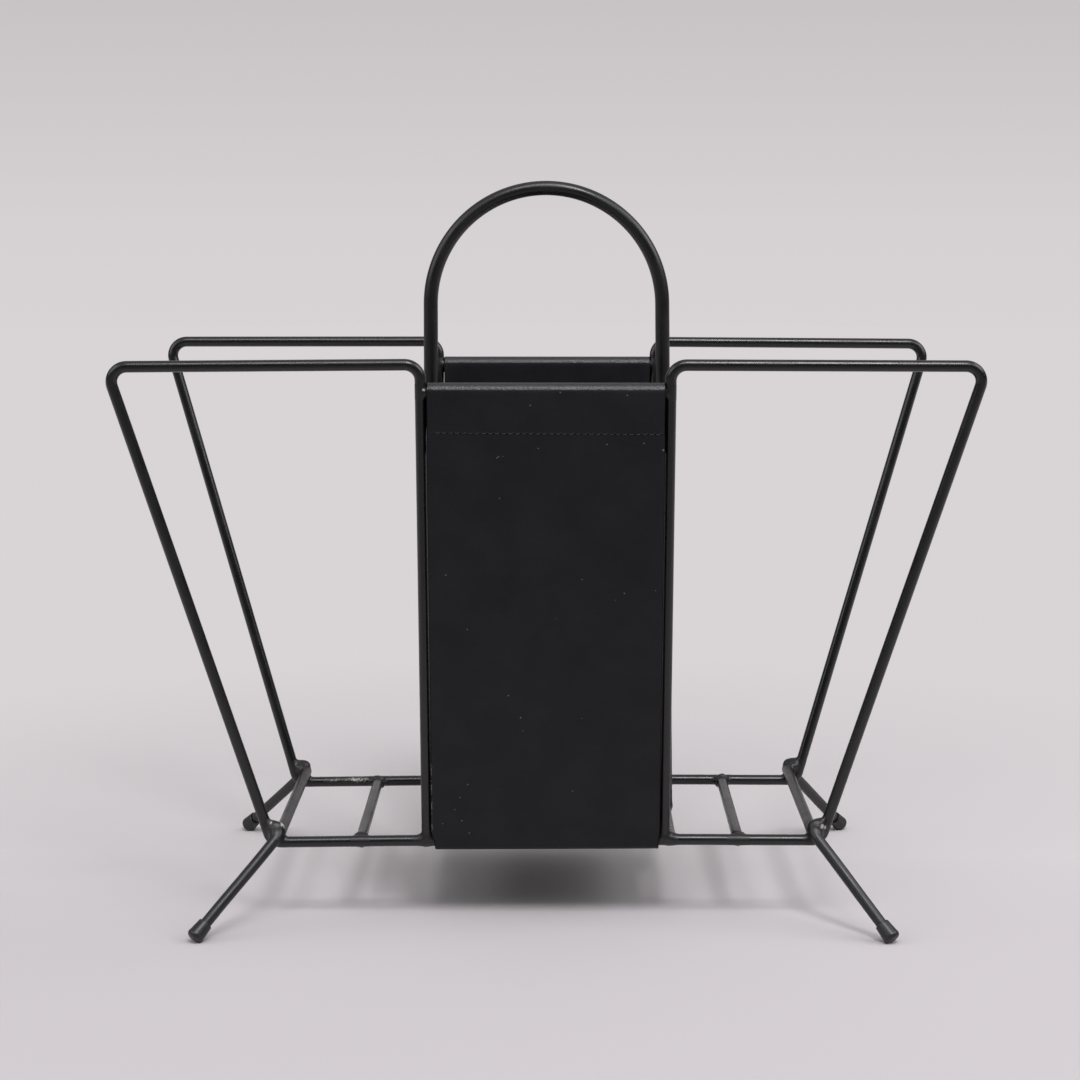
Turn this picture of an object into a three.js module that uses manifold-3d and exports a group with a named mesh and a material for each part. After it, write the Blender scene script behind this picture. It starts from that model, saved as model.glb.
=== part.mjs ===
// A wire magazine rack with a leather sling, as the pieces that it is welded and sewn from.
// Millimetres, +Z up. The origin is on the floor under the middle, +X runs along the rack and -Y is its front.
import * as THREE from "three";
import { mergeVertices } from "three/addons/utils/BufferGeometryUtils.js";
import Module from "manifold-3d";

const wasm = await Module();
wasm.setup();

// Clearance between pieces that touch
const gap = 0.3;

// Rods
const wireDiameter = 6;
const handleDiameter = 8;

// Front and back frames, to the centre of the wire and to the corners before they are rounded
const baseHeight = 45.4;
const rimHeight = 316;
const baseHalfDepth = 68.3;
const rimHalfDepth = 103.5;
const baseHalfWidth = 155;
const rimHalfWidth = 235.3;
const uprightX = 67.1;
const uprightBendRadius = 8.5;
const rimBendRadius = 8.5;
const baseBendRadius = 7;

// Rods that carry the sling, this far below the wire of the rim
const slingRodDrop = 13.7;

// Carrying handle: top of the rod, and half the spacing of its corners and of its feet
const handleHeight = 414.3;
const handleCornerX = 66;
const handleFootX = 70.6;

// Bars of the base
const leftBarX = 104.9;
const rightBarX = 108.7;

// Leg bows: the bar's reach past the base wire, then the leg's run out to where its axis meets the floor
const legBendReach = 5.7;
const legBendRadius = 10;
const leftLegSpreadX = 45.1;
const rightLegSpreadX = 43.1;
const legSpreadY = 46.5;

// Rubber foot caps
const capLength = 13;
const capBaseDiameter = 9.5;
const capRimDiameter = 8.2;
const capFloor = 2.6;
const capEdgeRadius = 1.2;
const capFlatDepth = 0.4;

// Leather sling: one strip, with a hem sewn round each rod
const leatherThickness = 1.8;
const leatherWidth = 126.8;
const hemSeamDrop = 23;
const hemLength = 33;
const hemBendRadius = 20;

// Weld beads: how far each dome reaches past its rod's radius, along X, Y and Z
const cornerBead = new THREE.Vector3(2.4, 2.2, 1.4);
const barBead = new THREE.Vector3(1.6, 1.4, 1);
const uprightBead = new THREE.Vector3(1.3, 1.5, 4.3);
const handleBead = new THREE.Vector3(1.1, 2.4, 2.4);
const uprightBeadInset = 0.8;

// Facets, and the distance under which two points of a path are one
const wireSides = 16;
const bendSteps = 6;
const archSteps = 14;
const capSides = 24;
const capEdgeSteps = 4;
const beadSides = 16;
const beadRings = 6;
const samePoint = 0.001;

// Sizes worked out from those above
const wireRadius = wireDiameter / 2;
const handleRadius = handleDiameter / 2;
const frameRise = rimHeight - baseHeight;
const frameRun = rimHalfDepth - baseHalfDepth;
const frameLean = Math.atan2(frameRun, frameRise);
const frameLength = Math.hypot(frameRun, frameRise);
const sideLean = Math.atan2(rimHalfWidth - baseHalfWidth, frameLength);
const seat = wireDiameter + gap;

// Materials
const lacquer = { color: 0x262628, roughness: 0.42, metalness: 0.1 };
const leather = { color: 0x222224, roughness: 0.62, metalness: 0 };
const rubber = { color: 0x38393a, roughness: 0.7, metalness: 0 };

const rack = new THREE.Group();
const swollen = new Map();

// Points and directions along a path of straight runs with round bends, given only where it ends or bends
function bentStations(corners, radii, steps) {
  const stations = [];
  const add = (point, tangent) => {
    const last = stations.at(-1);
    if (!last || last.point.distanceTo(point) > samePoint) stations.push({ point, tangent });
  };
  const directions = corners.slice(1).map((c, i) => c.clone().sub(corners[i]).normalize());
  add(corners[0], directions[0]);
  directions.slice(1).forEach((out, i) => {
    const into = directions[i];
    const turn = into.angleTo(out);
    const side = out.clone().addScaledVector(into, -out.dot(into)).normalize();
    const start = corners[i + 1].clone().addScaledVector(into, -radii[i] * Math.tan(turn / 2));
    const centre = start.clone().addScaledVector(side, radii[i]);
    for (let step = 0; step <= steps; step++) {
      const angle = (turn * step) / steps;
      const point = centre.clone().addScaledVector(side, -radii[i] * Math.cos(angle));
      point.addScaledVector(into, radii[i] * Math.sin(angle));
      const tangent = into.clone().multiplyScalar(Math.cos(angle));
      add(point, tangent.addScaledVector(side, Math.sin(angle)));
    }
  });
  add(corners.at(-1), directions.at(-1));
  return stations;
}

// The same path as a curve that an extrusion follows from station to station
class BentPath extends THREE.Curve {
  constructor(corners, radii, steps) {
    super();
    this.stations = bentStations(corners, radii, steps);
    this.steps = this.stations.length - 1;
  }
  getPointAt(share, target = new THREE.Vector3()) {
    return target.copy(this.stations[Math.round(share * this.steps)].point);
  }
  getTangentAt(share, target = new THREE.Vector3()) {
    return target.copy(this.stations[Math.round(share * this.steps)].tangent);
  }
}

function rodGeometry(path, radius) {
  const ring = Array.from({ length: wireSides }, (_, i) => {
    const angle = (2 * Math.PI * i) / wireSides;
    return new THREE.Vector2(radius * Math.cos(angle), radius * Math.sin(angle));
  });
  return new THREE.ExtrudeGeometry(new THREE.Shape(ring), { steps: path.steps, extrudePath: path });
}

function addMesh(parent, name, geometry, finish) {
  const mesh = new THREE.Mesh(geometry, new THREE.MeshStandardMaterial(finish));
  mesh.name = name;
  parent.add(mesh);
  return mesh;
}

// A rod, and its swollen twin, which cuts what lies against it with the clearance
function addRod(parent, name, corners, radii = [], radius = wireRadius, steps = bendSteps) {
  const path = new BentPath(corners, radii, steps);
  const mesh = addMesh(parent, name, rodGeometry(path, radius), lacquer);
  swollen.set(name, { mesh, geometry: rodGeometry(path, radius + gap) });
  return mesh;
}

function solidOf(geometry, matrix = new THREE.Matrix4()) {
  const bare = geometry.clone().applyMatrix4(matrix);
  bare.deleteAttribute("normal");
  bare.deleteAttribute("uv");
  const merged = mergeVertices(bare);
  const vertProperties = merged.attributes.position.array;
  const triVerts = new Uint32Array(merged.index.array);
  return new wasm.Manifold(new wasm.Mesh({ numProp: 3, vertProperties, triVerts }));
}

function geometryOf(solid) {
  const { vertProperties, triVerts } = solid.getMesh();
  const geometry = new THREE.BufferGeometry();
  geometry.setAttribute("position", new THREE.BufferAttribute(vertProperties, 3));
  geometry.setIndex(new THREE.BufferAttribute(triVerts, 1));
  geometry.computeVertexNormals();
  return geometry;
}

// Front and back frames, each one wire, with the rod that carries the sling. In the frame's own plane Z runs up it.
function addFrame(name) {
  const half = new THREE.Group();
  const plane = new THREE.Group();
  plane.position.set(0, -baseHalfDepth, baseHeight);
  plane.rotation.x = frameLean;
  const at = (x, up) => new THREE.Vector3(x, 0, up);
  const corners = [
    at(-uprightX, seat - wireRadius),
    at(-uprightX, frameLength),
    at(-rimHalfWidth, frameLength),
    at(-baseHalfWidth, 0),
    at(baseHalfWidth, 0),
    at(rimHalfWidth, frameLength),
    at(uprightX, frameLength),
    at(uprightX, seat - wireRadius),
  ];
  const left = [uprightBendRadius, rimBendRadius, baseBendRadius];
  addRod(plane, name + "_frame", corners, [...left, ...left.toReversed()]);
  const rodEnd = uprightX - wireRadius - gap;
  const rodUp = frameLength - slingRodDrop / Math.cos(frameLean);
  addRod(plane, name + "_sling_rod", [at(-rodEnd, rodUp), at(rodEnd, rodUp)]);
  half.add(plane);
  rack.add(half);
  return half;
}
addFrame("front");
addFrame("back").rotation.z = Math.PI;

// Carrying handle, whose two bends meet at the top as one arch
const handleTop = handleHeight - handleRadius;
const handleFoot = baseHeight + wireRadius + gap;
const handleLean = Math.atan2(handleFootX - handleCornerX, handleTop - handleFoot);
const archRadius = handleCornerX / Math.tan((Math.PI / 2 - handleLean) / 2);
const handleCorners = [
  new THREE.Vector3(-handleFootX, 0, handleFoot),
  new THREE.Vector3(-handleCornerX, 0, handleTop),
  new THREE.Vector3(handleCornerX, 0, handleTop),
  new THREE.Vector3(handleFootX, 0, handleFoot),
];
addRod(rack, "carrying_handle", handleCorners, [archRadius, archRadius], handleRadius, archSteps);

// Bars of the base, butted between the base wires of the two frames
function addBaseBar(name, x) {
  const end = baseHalfDepth - wireRadius - gap;
  const bar = addRod(rack, name, [new THREE.Vector3(0, -end, 0), new THREE.Vector3(0, end, 0)]);
  bar.position.set(x, 0, baseHeight);
}
addBaseBar("left_base_bar", -leftBarX);
addBaseBar("right_base_bar", rightBarX);
addBaseBar("left_handle_bar", -handleFootX);
addBaseBar("right_handle_bar", handleFootX);

// Leg bows: each bar lies on both base wires, nested in the frames' lower bends
const bowHeight = baseHeight + seat;
const baseTurn = Math.PI / 2 - sideLean;
const bowX = baseHalfWidth - Math.max(baseBendRadius, seat) * Math.tan(baseTurn / 2);
const bowCornerY = baseHalfDepth + legBendReach;
const capBaseRadius = capBaseDiameter / 2;

// A leg's axis, from its bend at share 0 to the floor at share 1, and the shares where its cap and its wire end
function legOf(side, end) {
  const spreadX = side < 0 ? leftLegSpreadX : rightLegSpreadX;
  const length = Math.hypot(spreadX, legSpreadY, bowHeight);
  const tilt = Math.acos(bowHeight / length);
  const edge = (capBaseRadius - capEdgeRadius) * Math.sin(tilt) + capEdgeRadius * (1 - Math.cos(tilt));
  const capShare = 1 - (edge - capFlatDepth) / bowHeight;
  const wireShare = capShare - (capFloor + gap) / length;
  const at = (share) => {
    const x = side * (bowX + spreadX * share);
    return new THREE.Vector3(x, end * (bowCornerY + legSpreadY * share), bowHeight * (1 - share));
  };
  return { at, capShare, wireShare };
}

function addLegBow(name, side) {
  const front = legOf(side, -1);
  const back = legOf(side, 1);
  const corners = [front.at(front.wireShare), front.at(0), back.at(0), back.at(back.wireShare)];
  addRod(rack, name, corners, [legBendRadius, legBendRadius]);
}
addLegBow("left_leg_bow", -1);
addLegBow("right_leg_bow", 1);

// Foot caps: a flared cup turned on the leg's axis, with the edge that it stands on worn flat
const capRimRadius = capRimDiameter / 2;
const capBoreRadius = wireRadius + gap;
const capProfile = [new THREE.Vector2(0, 0)];
for (let step = 0; step <= capEdgeSteps; step++) {
  const angle = (Math.PI / 2) * (step / capEdgeSteps);
  const across = capBaseRadius - capEdgeRadius * (1 - Math.sin(angle));
  capProfile.push(new THREE.Vector2(across, capEdgeRadius * (1 - Math.cos(angle))));
}
capProfile.push(
  new THREE.Vector2(capRimRadius, capLength),
  new THREE.Vector2(capBoreRadius, capLength),
  new THREE.Vector2(capBoreRadius, capFloor),
  new THREE.Vector2(0, capFloor),
);

// What the floor takes off each cap
const floorBlock = new THREE.BoxGeometry(2 * capLength, 2 * capLength, capLength);

function addFootCap(name, side, end) {
  const leg = legOf(side, end);
  const place = new THREE.Object3D();
  place.position.copy(leg.at(leg.capShare));
  const axis = leg.at(0).sub(place.position).normalize();
  place.quaternion.setFromUnitVectors(new THREE.Vector3(0, 1, 0), axis);
  place.updateMatrix();
  const cup = solidOf(new THREE.LatheGeometry(capProfile, capSides), place.matrix);
  const under = new THREE.Matrix4().makeTranslation(place.position.x, place.position.y, -capLength / 2);
  addMesh(rack, name, geometryOf(cup.subtract(solidOf(floorBlock, under))), rubber);
}

// Leather sling: the middle of the strip runs from one hem over the rod, down and under to the other hem
const wrapRadius = wireRadius + gap + leatherThickness / 2;
const layerStep = leatherThickness + gap;
const upFrame = new THREE.Vector3(0, -Math.sin(frameLean), Math.cos(frameLean));
const outOfFrame = new THREE.Vector3(0, -Math.cos(frameLean), -Math.sin(frameLean));

function slingHalf() {
  const rod = new THREE.Vector3(0, -baseHalfDepth, baseHeight);
  rod.addScaledVector(upFrame, frameLength - slingRodDrop / Math.cos(frameLean));
  const by = (up, out) => rod.clone().addScaledVector(upFrame, up).addScaledVector(outOfFrame, out);
  const hemOut = wrapRadius - layerStep;
  const seamSlant = Math.atan2(hemOut, hemSeamDrop) + Math.asin(wrapRadius / Math.hypot(hemSeamDrop, hemOut));
  const innerOut = hemOut - (hemSeamDrop + wrapRadius) * Math.tan(seamSlant);
  const panelTop = by(wrapRadius, wrapRadius);
  const fall = (panelTop.z - (baseHeight - wrapRadius)) / upFrame.z;
  return [
    by(-hemLength, hemOut),
    by(-hemSeamDrop, hemOut),
    by(wrapRadius, innerOut),
    panelTop,
    panelTop.clone().addScaledVector(upFrame, -fall),
  ];
}

const frontHalf = slingHalf();
const backHalf = frontHalf.map((p) => new THREE.Vector3(0, -p.y, p.z)).reverse();
const halfRadii = [hemBendRadius, wrapRadius, wrapRadius, wrapRadius];
const strip = bentStations([...frontHalf, ...backHalf], [...halfRadii, ...halfRadii.toReversed()], bendSteps);
const edgeOf = (side) =>
  strip.map(({ point, tangent }) => {
    const reach = (side * leatherThickness) / 2;
    return new THREE.Vector2(point.y - tangent.z * reach, point.z + tangent.y * reach);
  });
const stripSection = new THREE.Shape([...edgeOf(1), ...edgeOf(-1).reverse()]);
const slingGeometry = new THREE.ExtrudeGeometry(stripSection, { depth: leatherWidth, bevelEnabled: false });
const sling = addMesh(rack, "leather_sling", slingGeometry, leather);
sling.rotation.set(Math.PI / 2, Math.PI / 2, 0);
sling.position.x = -leatherWidth / 2;

// Weld beads: domes on the rods that they join, cut clear of them
const domeProfile = [new THREE.Vector2(0, 0)];
for (let ring = 0; ring <= beadRings; ring++) {
  const angle = (Math.PI / 2) * (ring / beadRings);
  domeProfile.push(new THREE.Vector2(ring < beadRings ? Math.cos(angle) : 0, Math.sin(angle)));
}
const dome = new THREE.LatheGeometry(domeProfile, beadSides).rotateX(Math.PI / 2);
rack.updateMatrixWorld(true);
const cutters = new Map();
for (const [name, { mesh, geometry }] of swollen) cutters.set(name, solidOf(geometry, mesh.matrixWorld));

function addBead(name, centre, radius, reach, rods) {
  const size = reach.clone().addScalar(radius);
  const matrix = new THREE.Matrix4().compose(centre, new THREE.Quaternion(), size);
  const bead = rods.reduce((left, rod) => left.subtract(cutters.get(rod)), solidOf(dome, matrix));
  const pieces = bead.decompose().sort((a, b) => b.volume() - a.volume());
  addMesh(rack, name, geometryOf(pieces[0]), lacquer);
}

for (const [end, endName] of [[-1, "front"], [1, "back"]]) {
  for (const [side, sideName] of [[-1, "left"], [1, "right"]]) {
    const corner = endName + "_" + sideName;
    const frame = endName + "_frame";
    const onBase = (x, inset, z) => new THREE.Vector3(side * x, end * (baseHalfDepth - inset), z);
    addFootCap("foot_cap_" + corner, side, end);
    const cornerPlace = onBase(bowX + wireRadius, 0, bowHeight);
    addBead("corner_weld_" + corner, cornerPlace, wireRadius, cornerBead, [frame, sideName + "_leg_bow"]);
    const barX = side < 0 ? leftBarX : rightBarX;
    const barPlace = onBase(barX, wireRadius, baseHeight);
    addBead("bar_weld_" + corner, barPlace, wireRadius, barBead, [frame, sideName + "_base_bar"]);
    const uprightPlace = onBase(uprightX + wireRadius, uprightBeadInset, baseHeight);
    const uprightRods = [frame, sideName + "_handle_bar"];
    addBead("upright_weld_" + corner, uprightPlace, wireRadius, uprightBead, uprightRods);
  }
}
for (const [side, sideName] of [[-1, "left"], [1, "right"]]) {
  const place = new THREE.Vector3(side * handleFootX, 0, baseHeight);
  const rods = ["carrying_handle", sideName + "_handle_bar"];
  addBead("handle_weld_" + sideName, place, handleRadius, handleBead, rods);
}

export default rack;
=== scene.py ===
# A wire magazine rack: lacquered rods, bent and welded, a sling of one leather strip, and rubber foot caps.
# Lengths are in millimetres until a mesh is made. +Z is up, +X runs along the rack and -Y is its front.
import math

import bpy
import numpy as np
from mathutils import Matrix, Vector, noise


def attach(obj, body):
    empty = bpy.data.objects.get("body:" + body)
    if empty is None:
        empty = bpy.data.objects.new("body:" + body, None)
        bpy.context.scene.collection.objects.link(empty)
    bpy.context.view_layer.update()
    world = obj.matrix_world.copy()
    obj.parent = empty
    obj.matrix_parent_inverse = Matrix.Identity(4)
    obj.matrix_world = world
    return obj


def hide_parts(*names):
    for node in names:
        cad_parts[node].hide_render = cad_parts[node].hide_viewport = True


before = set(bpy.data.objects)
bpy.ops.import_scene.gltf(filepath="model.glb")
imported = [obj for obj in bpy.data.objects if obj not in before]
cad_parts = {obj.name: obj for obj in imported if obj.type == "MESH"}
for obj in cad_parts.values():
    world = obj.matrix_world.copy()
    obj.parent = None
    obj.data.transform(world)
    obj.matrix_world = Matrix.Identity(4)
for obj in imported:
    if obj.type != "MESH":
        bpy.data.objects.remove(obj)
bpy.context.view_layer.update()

MM = 0.001

# The sides and ends of the rack, as the signs of X and Y there
LEFT, RIGHT = -1, 1
FRONT, BACK = -1, 1
SIDES = {"left": LEFT, "right": RIGHT}
ENDS = {"front": FRONT, "back": BACK}

# Rods. GAP is left between pieces that touch, and BITE is how far a rod's end melts into the next one.
WIRE_RADIUS = 3.0
HANDLE_RADIUS = 4.0
GAP = 0.3
BITE = 0.6
LACQUER_COAT = 0.12
CUT_END_ROUNDING = 0.4

# Front and back frames, to the centre of the wire and to the corners before they are rounded
BASE_HEIGHT = 45.4
RIM_HEIGHT = 316.0
BASE_HALF_DEPTH = 68.3
RIM_HALF_DEPTH = 103.5
BASE_HALF_WIDTH = 155.0
RIM_HALF_WIDTH = 235.3
UPRIGHTS_X = {LEFT: 67.1, RIGHT: 66.75}
UPRIGHT_BEND = 8.5
RIM_BEND = 8.5
BASE_BEND = 7.0
SLING_ROD_DROP = 14.0

# How far the real rack's rims and base are out of true: the rims' corners from left to right, and the base
RIM_OFFSETS = {FRONT: (-0.4, 0.9, 0.7, 0.15), BACK: (0.15, 0.3, 0.1, -1.0)}
BASE_TILT = 0.0058
BASE_CROWN = 0.4
BASE_DROOP = 0.6

# Handle and base bars
HANDLE_HEIGHT = 414.3
HANDLE_CORNER_X = 66.0
HANDLE_SHIFT = -0.35
HANDLE_FEET_X = {LEFT: 67.8, RIGHT: 70.6}
BASE_BARS_X = {LEFT: 104.9, RIGHT: 108.7}

# Leg bows and their caps. As on the real rack, each leg has its own spread, outward along X and along Y.
LEG_BEND_REACH = 5.7
LEG_BEND = 10.0
LEG_SPREADS = {
    (LEFT, FRONT): (45.9, 42.0), (RIGHT, FRONT): (43.1, 41.0),
    (LEFT, BACK): (46.0, 46.5), (RIGHT, BACK): (42.9, 51.0)}
CAP_LENGTH = 11.0
CAP_BASE_RADIUS = 4.8
CAP_RIM_RADIUS = 4.1
CAP_FLOOR = 2.6
CAP_EDGE_RADIUS = 2.3
CAP_RIM_ROUNDING = 0.5
CAP_FLAT_DEPTH = 0.4
CAP_FLARE = 0.9
CAP_CLEARANCE = 0.05
CAP_MOUTH_DEPTH = 0.2

# Welds: how far each one's skin reaches from its middle, and the fillet where its rods meet
CORNER_WELD = (14.0, 2.4)
BAR_WELD = (10.0, 2.4)
UPRIGHT_WELD = (11.0, 3.4)
SLING_ROD_WELD = (8.0, 1.6)
HANDLE_WELD = (12.0, 3.4)
UPRIGHT_WELD_ASIDE = 1.0
WELD_SKIN = 0.18
SKIN_FADES_FROM = 0.6
SKIN_SINKS = 0.7
BEAD_FILLET = 1.4
LUMP_HEIGHT = 0.22
LUMP_SIZE = 2.3
LUMP_SEED_STEP = 7.1
FULL_FILLER = 0.4

# The filler between a leg bow and a frame: beads outward, forward and up from where they nest, and radii
CORNER_WEB = [
    (0.4, -1.5, 2.8, 2.0), (0.4, 1.2, 3.2, 2.0), (2.2, 2.6, 4.4, 1.7),
    (0.6, 3.5, 3.9, 1.8), (-1.2, 3.8, 3.7, 1.8), (-3.0, 3.6, 3.5, 1.6),
    (0.9, 3.8, 1.2, 2.3), (-1.1, 5.0, 0.0, 2.3), (0.4, 3.6, -2.0, 2.0)]
WEB_FILLET = 3.2
WEB_LUMP_HEIGHT = 0.12

# The collar of filler where a bar meets a base wire: how many beads, on what circle, and their uneven radii
COLLAR_BEADS = 9
COLLAR_RADIUS = 3.1
COLLAR_BACK = 0.7
COLLAR_BEAD_RADIUS = 1.45
COLLAR_UNEVEN = 0.4

# Leather sling. Below its rod, each hem's flap leaves the panel at HEM_OPENS_DROP and ends at HEM_LENGTH. The
# leather above ROLL_FOOT is rolled and burnished. Where its normal points up by LEVEL_NORMAL, it hangs level.
LEATHER_THICKNESS = 1.8
LEATHER_WIDTH = 126.8
LEATHER_EDGE_RADIUS = 0.4
EDGE_STEPS = 3
HEM_OPENS_DROP = 23.0
HEM_LENGTH = 33.0
HEM_BEND = 20.0
ROLL_FOOT = 303.5
SLING_SAG = 1.2
LEVEL_NORMAL = 0.9

# The strip's soft waves, which fade out towards the hems and the base wires
WAVE_HEIGHT = 0.35
WAVE_ACROSS = 45.0
WAVE_ALONG = 60.0
WAVE_FROM_HEM = 70.0
WAVE_FADE_AT_HEM = 40.0
WAVE_FADE_AT_BASE = 30.0
WAVE_SEED = 3.7

# The strip's uneven edges: how much further out than a straight cut at each height, and a small wobble
EDGE_HEIGHTS = (38.0, 47.0, 52.0, 80.0, 100.0, 130.0, 270.0, 285.0)
EDGE_WIDENING = {
    LEFT: (-1.1, -0.7, 0.9, 0.9, 0.75, 0.7, 0.7, 0.3),
    RIGHT: (0.1, 0.1, 0.7, 0.6, 0.6, 0.7, 0.7, 0.4)}
EDGE_WOBBLE = 0.1
EDGE_WOBBLE_LENGTH = 25.0
EDGE_WOBBLE_FADE = 8
EDGE_WOBBLE_SEED = 9

# Stitching. FAR_FROM_SEAM stands for the leather under the base, which has no seam.
STITCHES = 34
SEAM_START = -60.2
SEAM_END = 62.1
SEAM_DROP = 21.7
SEAM_SLOPE = -0.0065
FAR_FROM_SEAM = 99.0
THREAD_RADIUS = 0.18
THREAD_THINS = 0.25
STITCH_SINKS = 0.5

# Each stitch's length as a share of the pitch, its tilt, and its rise in thread radii: usual and uneven part
STITCH_LENGTH = (0.8, 0.08)
STITCH_TILT = (0.1, 0.15)
STITCH_RISE = (0.3, 0.4)

# Dust specks on the front panel: across, height and radius. The large one at the right edge is a frayed spot
# and partly a painted highlight of the lit cut edge there.
LEATHER_SPECKS_AND_EDGE_HIGHLIGHT = [
    (-8.3, 296.0, 0.5), (7.7, 303.0, 0.5), (43.4, 301.5, 0.5), (52.5, 275.4, 0.5), (32.7, 274.8, 0.5),
    (-4.1, 272.6, 0.45), (-26.3, 267.4, 0.5), (-25.4, 268.0, 0.5), (-23.2, 268.2, 0.35), (63.0, 271.7, 0.8),
    (-25.0, 245.1, 0.4), (-43.7, 81.0, 0.5), (-48.2, 73.3, 0.45), (-47.2, 59.4, 0.5), (-58.0, 57.6, 0.4),
    (-43.1, 52.0, 0.5), (-51.0, 66.0, 0.35), (20.0, 120.0, 0.35), (38.0, 188.0, 0.35)]

# Where the finish is rubbed or chipped, on each piece: places, each with its reach and how strongly
WEAR = {
    "back_frame_wire": [((x, 66.0, 47.2), 5.0, 0.72 + 0.006 * (x + 126)) for x in range(-138, -107, 3)],
    "front_frame_wire": [((-229.9, -104.0, 309.7), 3.0, 0.6), ((-133.9, -68.0, 48.7), 1.6, 0.9),
                         ((-84.5, -71.0, 47.8), 1.4, 0.9), ((70.4, -103.0, 308.1), 2.4, 0.8)],
    "right_handle_bar_rod": [((71.2, y, 48.2), 4.5, 0.72) for y in range(-64, -10, 4)],
    "corner_weld_front_left_bead": [((-148.8, -72.0, 55.9), 3.8, 1.15), ((-151.0, -72.5, 56.6), 3.4, 0.88),
                                    ((-153.8, -73.0, 55.4), 4.0, 0.88), ((-154.8, -72.5, 57.6), 3.4, 0.9)],
    "corner_weld_front_right_bead": [((152.0, -73.8, 55.2), 3.8, 0.92), ((154.8, -74.0, 54.8), 4.0, 0.92),
                                     ((157.0, -73.5, 54.0), 3.2, 0.88)],
    "corner_weld_back_left_bead": [((-151.5, 66.0, 57.0), 3.0, 0.6)],
    "corner_weld_back_right_bead": [((151.5, 66.0, 57.0), 3.0, 0.68)],
    "bar_weld_back_left_bead": [((-108.0, 64.5, 47.5), 4.0, 0.72)],
    "bar_weld_back_right_bead": [((112.5, 65.0, 48.5), 3.0, 0.6)],
    "bar_weld_front_left_bead": [((-105.0, -66.0, 48.6), 2.4, 0.6)],
    "bar_weld_front_right_bead": [((108.7, -66.0, 48.6), 3.0, 0.62)],
    "upright_weld_front_right_bead": [((72.5, -65.5, 48.8), 4.0, 0.72)],
    "sling_rod_weld_front_left": [((-65.2, -105.2, 303.6), 2.2, 0.95)],
    "leather_sling_strip": [((-63.6, -66.8 - z * 0.13, z), 2.8, 0.86) for z in range(47, 94, 2)]}

# Fineness of the meshes
RING_STEP = 2.5
WIRE_SIDES = 28
BEND_STEP = 1.0
BEND_STEPS = (4, 40)
CAP_SIDES = 56
CAP_EDGE_PLACES = 8
CAP_WALL_PLACES = 8
CAP_LIP_PLACES = 5
THREAD_SIDES = 8
STITCH_PLACES = 9
SKIN_GRID = 0.5
COLUMN_STEP = 2.6

# A direction that no rod follows, from which the rings of the tubes start
OFF_EVERY_ROD = (0.3, 0.5, 0.81)

# The photograph's viewpoint, worked out from its perspective, for an image of this many pixels
CAMERA_PLACE = (4.3, -1350.0, 407.1)
CAMERA_DOWN = math.radians(8.43)
CAMERA_TURN = math.radians(0.342)
FOCAL_PIXELS = 2336.9
IMAGE_PIXELS = 1080
SENSOR_WIDTH = 36.0

# The soft boxes round the rack, with their places, sizes and watts
SOFT_BOXES = {
    "key_box": ((455, -1500, 2560), (650, 1000), 37),
    "fill_box": ((-475, -1500, 2560), (550, 1000), 12),
    "left_box": ((-2200, -900, 1500), (2400, 1600), 22),
    "right_box": ((2200, -500, 1900), (2400, 1600), 38)}
LAMP_COLOUR = "#F8F8FC"
LAMP_AIM = (0, 0, 100)

# The backdrop paper: how far from the rack it becomes even, and between which Y it shades off towards the
# camera, ends for light and begins to show in reflections
BACKDROP_RADIUS = 6000
BACKDROP_SIDES = 96
PAPER_EVENS_OUT = (320, 720)
PAPER_SHADES = (100, -800)
PAPER_ENDS = (-330, -480)
MIRRORED_PAPER = (-420, -320)

# Sizes worked out from those above
FRAME_RISE = RIM_HEIGHT - BASE_HEIGHT
FRAME_RUN = RIM_HALF_DEPTH - BASE_HALF_DEPTH
FRAME_LEAN = math.atan2(FRAME_RUN, FRAME_RISE)
FRAME_LENGTH = math.hypot(FRAME_RUN, FRAME_RISE)
SIDE_LEAN = math.atan2(RIM_HALF_WIDTH - BASE_HALF_WIDTH, FRAME_LENGTH)
SEAT = 2 * WIRE_RADIUS + GAP
BOW_HEIGHT = BASE_HEIGHT + SEAT
BOW_X = BASE_HALF_WIDTH - max(BASE_BEND, SEAT) * math.tan((math.pi / 2 - SIDE_LEAN) / 2)
BOW_CORNER_Y = BASE_HALF_DEPTH + LEG_BEND_REACH
ROD_UP = FRAME_LENGTH - SLING_ROD_DROP / math.cos(FRAME_LEAN)
STITCH_PITCH = (SEAM_END - SEAM_START) / STITCHES
WRAP_RADIUS = WIRE_RADIUS + GAP + LEATHER_THICKNESS / 2


# Materials

def colour(code):
    """An sRGB hex value as linear red, green, blue and alpha."""
    parts = [int(code[place:place + 2], 16) / 255 for place in (1, 3, 5)]
    return [c / 12.92 if c <= 0.04045 else ((c + 0.055) / 1.055) ** 2.4 for c in parts] + [1.0]


def add(tree, kind, inputs=None, stops=(), **settings):
    """Adds a node. inputs gives numbers or what they are linked to, and stops fill a colour ramp."""
    made = tree.nodes.new("ShaderNode" + kind)
    for name, value in settings.items():
        setattr(made, name, value)
    for place, (position, shade) in enumerate(stops):
        elements = made.color_ramp.elements
        stop = elements[place] if place < 2 else elements.new(position)
        stop.position = position
        stop.color = colour(shade)
    for socket, value in (inputs or {}).items():
        if isinstance(value, bpy.types.Node):
            value = value.outputs[0]
        if isinstance(value, bpy.types.NodeSocket):
            tree.links.new(value, made.inputs[socket])
        else:
            made.inputs[socket].default_value = value
    return made


def new_material(name):
    """A material without nodes yet, its tree, and the place on the object that its patterns follow."""
    material = bpy.data.materials.new(name)
    material.use_nodes = True
    tree = material.node_tree
    tree.nodes.clear()
    return material, tree, add(tree, "TexCoord").outputs["Object"]


def per(size):
    """The scale of a pattern whose features are this many millimetres."""
    return 1 / (size * MM)


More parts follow.
